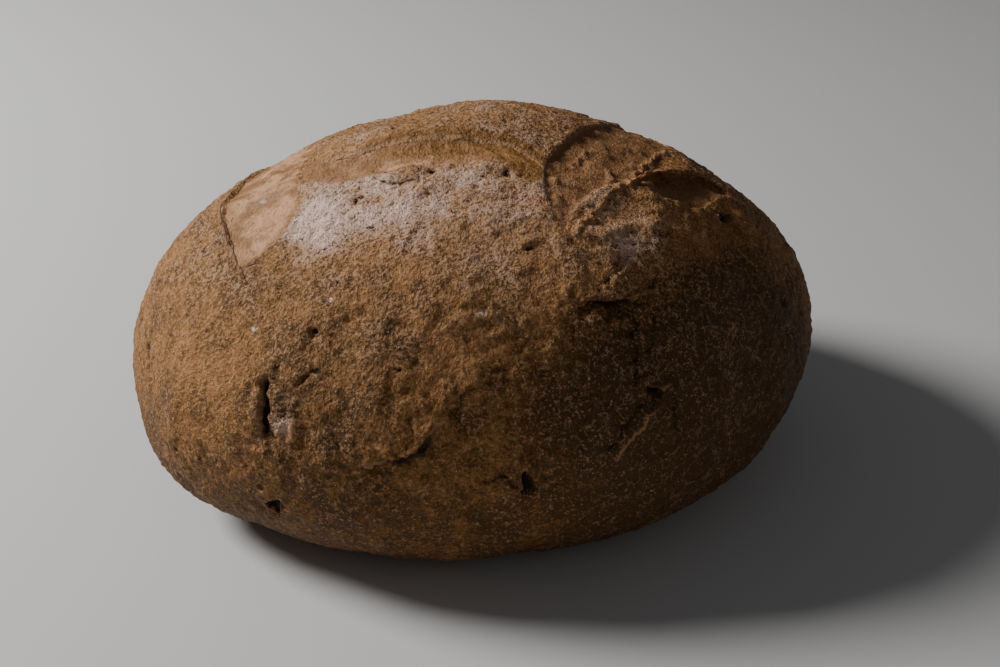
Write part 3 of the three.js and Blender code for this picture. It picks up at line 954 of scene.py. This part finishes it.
class BreadCrustSettings(bpy.types.PropertyGroup):
    """Sizes and colours of the crust."""

    mesh_size: length_setting("Mesh size", "Edge length of the crust's even mesh", 0.72)
    triangle_count: IntProperty(
        name="Triangles", description="The crust's triangles, at most", default=194000, min=1000
    )
    rag_height: length_setting("Raggedness", "How far the rims of the tears stray sideways", 2.6)
    lump_height: length_setting("Lump height", "Height of the broad lumps of the crust", 1.8)
    knob_height: length_setting("Knob height", "Height of the small knobs of the crust", 1.5)
    grain_height: length_setting("Grain height", "Height of the crust's grain", 0.9)
    fold_height: length_setting("Fold height", "Height of the folds on the scores' floors", 2.4)
    pale_crust: colour_setting("Pale crust", "Colour of the least baked crust", (0.44, 0.20, 0.065))
    golden_crust: colour_setting("Golden crust", "Colour of most of the crust", (0.265, 0.114, 0.023))
    dark_crust: colour_setting("Dark crust", "Colour of the darkest crust", (0.095, 0.041, 0.008))
    # Painted shade: the near-black colour put inside holes, pores and cracks
    hollow_shade: colour_setting("Painted hollow shade", "Colour inside holes and pores", (0.014, 0.007, 0.003))
    floor_light: colour_setting("Light floor", "Lighter colour of the scores' floors", (0.70, 0.38, 0.20))
    floor_dark: colour_setting("Dark floor", "Darker colour of the scores' floors", (0.27, 0.12, 0.04))
    amber: colour_setting(
        "Amber", "Colour of the bare, well-baked band in the long score", (0.21, 0.085, 0.013)
    )
    amber_light: colour_setting("Light amber", "Lighter colour of that band", (0.36, 0.17, 0.045))
    torn_edge: colour_setting("Torn edge", "Colour of thin torn edges and ridges", (0.62, 0.30, 0.125))
    toasted_flour: colour_setting("Toasted flour", "Darker colour of the flour", (0.50, 0.285, 0.155))
    flour_colour: colour_setting("Flour", "Colour of the flour on the crust", (0.93, 0.66, 0.55))


class BreadFlourSettings(bpy.types.PropertyGroup):
    """Number and colours of the loose grains on the crust."""

    grain_count: IntProperty(
        name="Flour grains", description="How many coarse grains lie there", default=20000, min=100
    )
    light_grain: colour_setting("Light grain", "Lightest of the grains", (0.62, 0.43, 0.30))
    toasted_grain: colour_setting("Toasted grain", "Darkest of the grains", (0.28, 0.14, 0.06))


class BreadStageSettings(bpy.types.PropertyGroup):
    """The floor, the light and the camera."""

    elevation: FloatProperty(
        name="Elevation",
        description="Camera's angle above the horizon",
        default=math.radians(29),
        subtype="ANGLE",
    )
    azimuth: FloatProperty(
        name="Azimuth",
        description="Camera's turn round the loaf",
        default=math.radians(-11.7),
        subtype="ANGLE",
    )
    distance: length_setting("Distance", "From the camera to the loaf's middle", 511)
    key_power: FloatProperty(
        name="Key light", description="Power of the key light, in watts", default=21.5, min=0
    )
    fill_power: FloatProperty(
        name="Fill light", description="Power of the fill light, in watts", default=0.8, min=0
    )


class BREAD_OT_crust(bpy.types.Operator):
    """Models the crust round the loaf's solid"""

    bl_idname = "bread.crust"
    bl_label = "Crust"

    def execute(self, context):
        crust = crust_from_solid()
        keep_shares(crust)
        smooth_facets(crust)
        roughen(crust)
        push_marks(crust)
        thin_out(crust)
        show_only(crust)
        bpy.ops.object.shade_smooth()
        dress(crust, crust_material())
        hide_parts(LOAF)
        return {"FINISHED"}


class BREAD_OT_flour(bpy.types.Operator):
    """Strews coarse grains of flour over the crust"""

    bl_idname = "bread.flour"
    bl_label = "Flour"

    def execute(self, context):
        count = context.scene.bread_flour.grain_count
        grains = grain_mesh(bpy.data.objects["crust"], count)
        dress(grains, grain_material())
        return {"FINISHED"}


class BREAD_OT_stage(bpy.types.Operator):
    """Sets up the pale floor, the soft light and the camera"""

    bl_idname = "bread.stage"
    bl_label = "Stage"

    def execute(self, context):
        add_floor()
        add_lights()
        add_camera()
        return {"FINISHED"}


def add_floor():
    """A wide pale floor, a hair below the loaf's base."""
    bpy.ops.object.select_all(action="DESELECT")
    bpy.ops.mesh.primitive_plane_add(size=8, location=(0, 0, -0.02 * MM))
    floor = bpy.context.object
    floor.name = "floor"
    material = Shading("pale_floor").finish(Base_Color=(0.66, 0.65, 0.63, 1), Roughness=0.75)
    floor.data.materials.append(material)


def aim(thing, target):
    """Turns a lamp or the camera towards a point."""
    way = Vector(target) - thing.location
    thing.rotation_euler = way.to_track_quat("-Z", "Y").to_euler()


def add_light(name, location, size, power):
    bpy.ops.object.light_add(type="AREA", location=location)
    lamp = bpy.context.object
    lamp.name = name
    lamp.data.shape = "DISK"
    lamp.data.size = size
    lamp.data.energy = power
    aim(lamp, (0, 0, 60 * MM))


def add_lights():
    settings = bpy.context.scene.bread_stage
    add_light("key_light", (-0.95, 0.42, 0.85), 0.45, settings.key_power)
    add_light("fill_light", (0.6, -1.2, 0.8), 1.4, settings.fill_power)
    world = bpy.data.worlds.new("soft_studio")
    world.use_nodes = True
    background = world.node_tree.nodes["Background"]
    background.inputs["Color"].default_value = (0.92, 0.94, 1, 1)
    background.inputs["Strength"].default_value = 0.075
    bpy.context.scene.world = world


def add_camera():
    """A camera at the photograph's angle, turned so that the loaf stands where it does."""
    settings = bpy.context.scene.bread_stage
    middle = Vector((0, 0, 58.5 * MM))
    turn, height = settings.azimuth, settings.elevation
    level = math.cos(height)
    back = Vector((math.sin(turn) * level, -math.cos(turn) * level, math.sin(height)))
    right = Vector((math.cos(turn), math.sin(turn), 0))
    upward = back.cross(right)
    bpy.ops.object.camera_add(location=middle + back * settings.distance)
    camera = bpy.context.object
    camera.name = "photo_camera"
    camera.data.lens = 50
    camera.data.sensor_width = 36
    focal_pixels = PICTURE_WIDTH * camera.data.lens / camera.data.sensor_width
    pixel = settings.distance / focal_pixels
    leftward, raised = OFF_CENTRE
    aim(camera, middle + right * leftward * pixel - upward * raised * pixel)
    camera.data.clip_start = 0.01
    camera.data.clip_end = 50
    bpy.context.scene.camera = camera


class BREAD_PT_sidebar(bpy.types.Panel):
    """Lists the steps that make the loaf"""

    bl_label = "Country Loaf"
    bl_idname = "BREAD_PT_sidebar"
    bl_space_type = "VIEW_3D"
    bl_region_type = "UI"
    bl_category = "Bread"

    def draw(self, context):
        steps = (
            (context.scene.bread_crust, "bread.crust"),
            (context.scene.bread_flour, "bread.flour"),
            (context.scene.bread_stage, "bread.stage"),
        )
        for settings, operator in steps:
            box = self.layout.box()
            for name in settings.__annotations__:
                box.prop(settings, name)
            box.operator(operator)


CLASSES = (
    BreadCrustSettings,
    BreadFlourSettings,
    BreadStageSettings,
    BREAD_OT_crust,
    BREAD_OT_flour,
    BREAD_OT_stage,
    BREAD_PT_sidebar,
)


def register():
    for item in CLASSES:
        bpy.utils.register_class(item)
    bpy.types.Scene.bread_crust = PointerProperty(type=BreadCrustSettings)
    bpy.types.Scene.bread_flour = PointerProperty(type=BreadFlourSettings)
    bpy.types.Scene.bread_stage = PointerProperty(type=BreadStageSettings)


def unregister():
    del bpy.types.Scene.bread_stage
    del bpy.types.Scene.bread_flour
    del bpy.types.Scene.bread_crust
    for item in reversed(CLASSES):
        bpy.utils.unregister_class(item)


def main():
    register()
    bpy.ops.bread.crust()
    bpy.ops.bread.flour()
    bpy.ops.bread.stage()


if __name__ == "__main__":
    main()
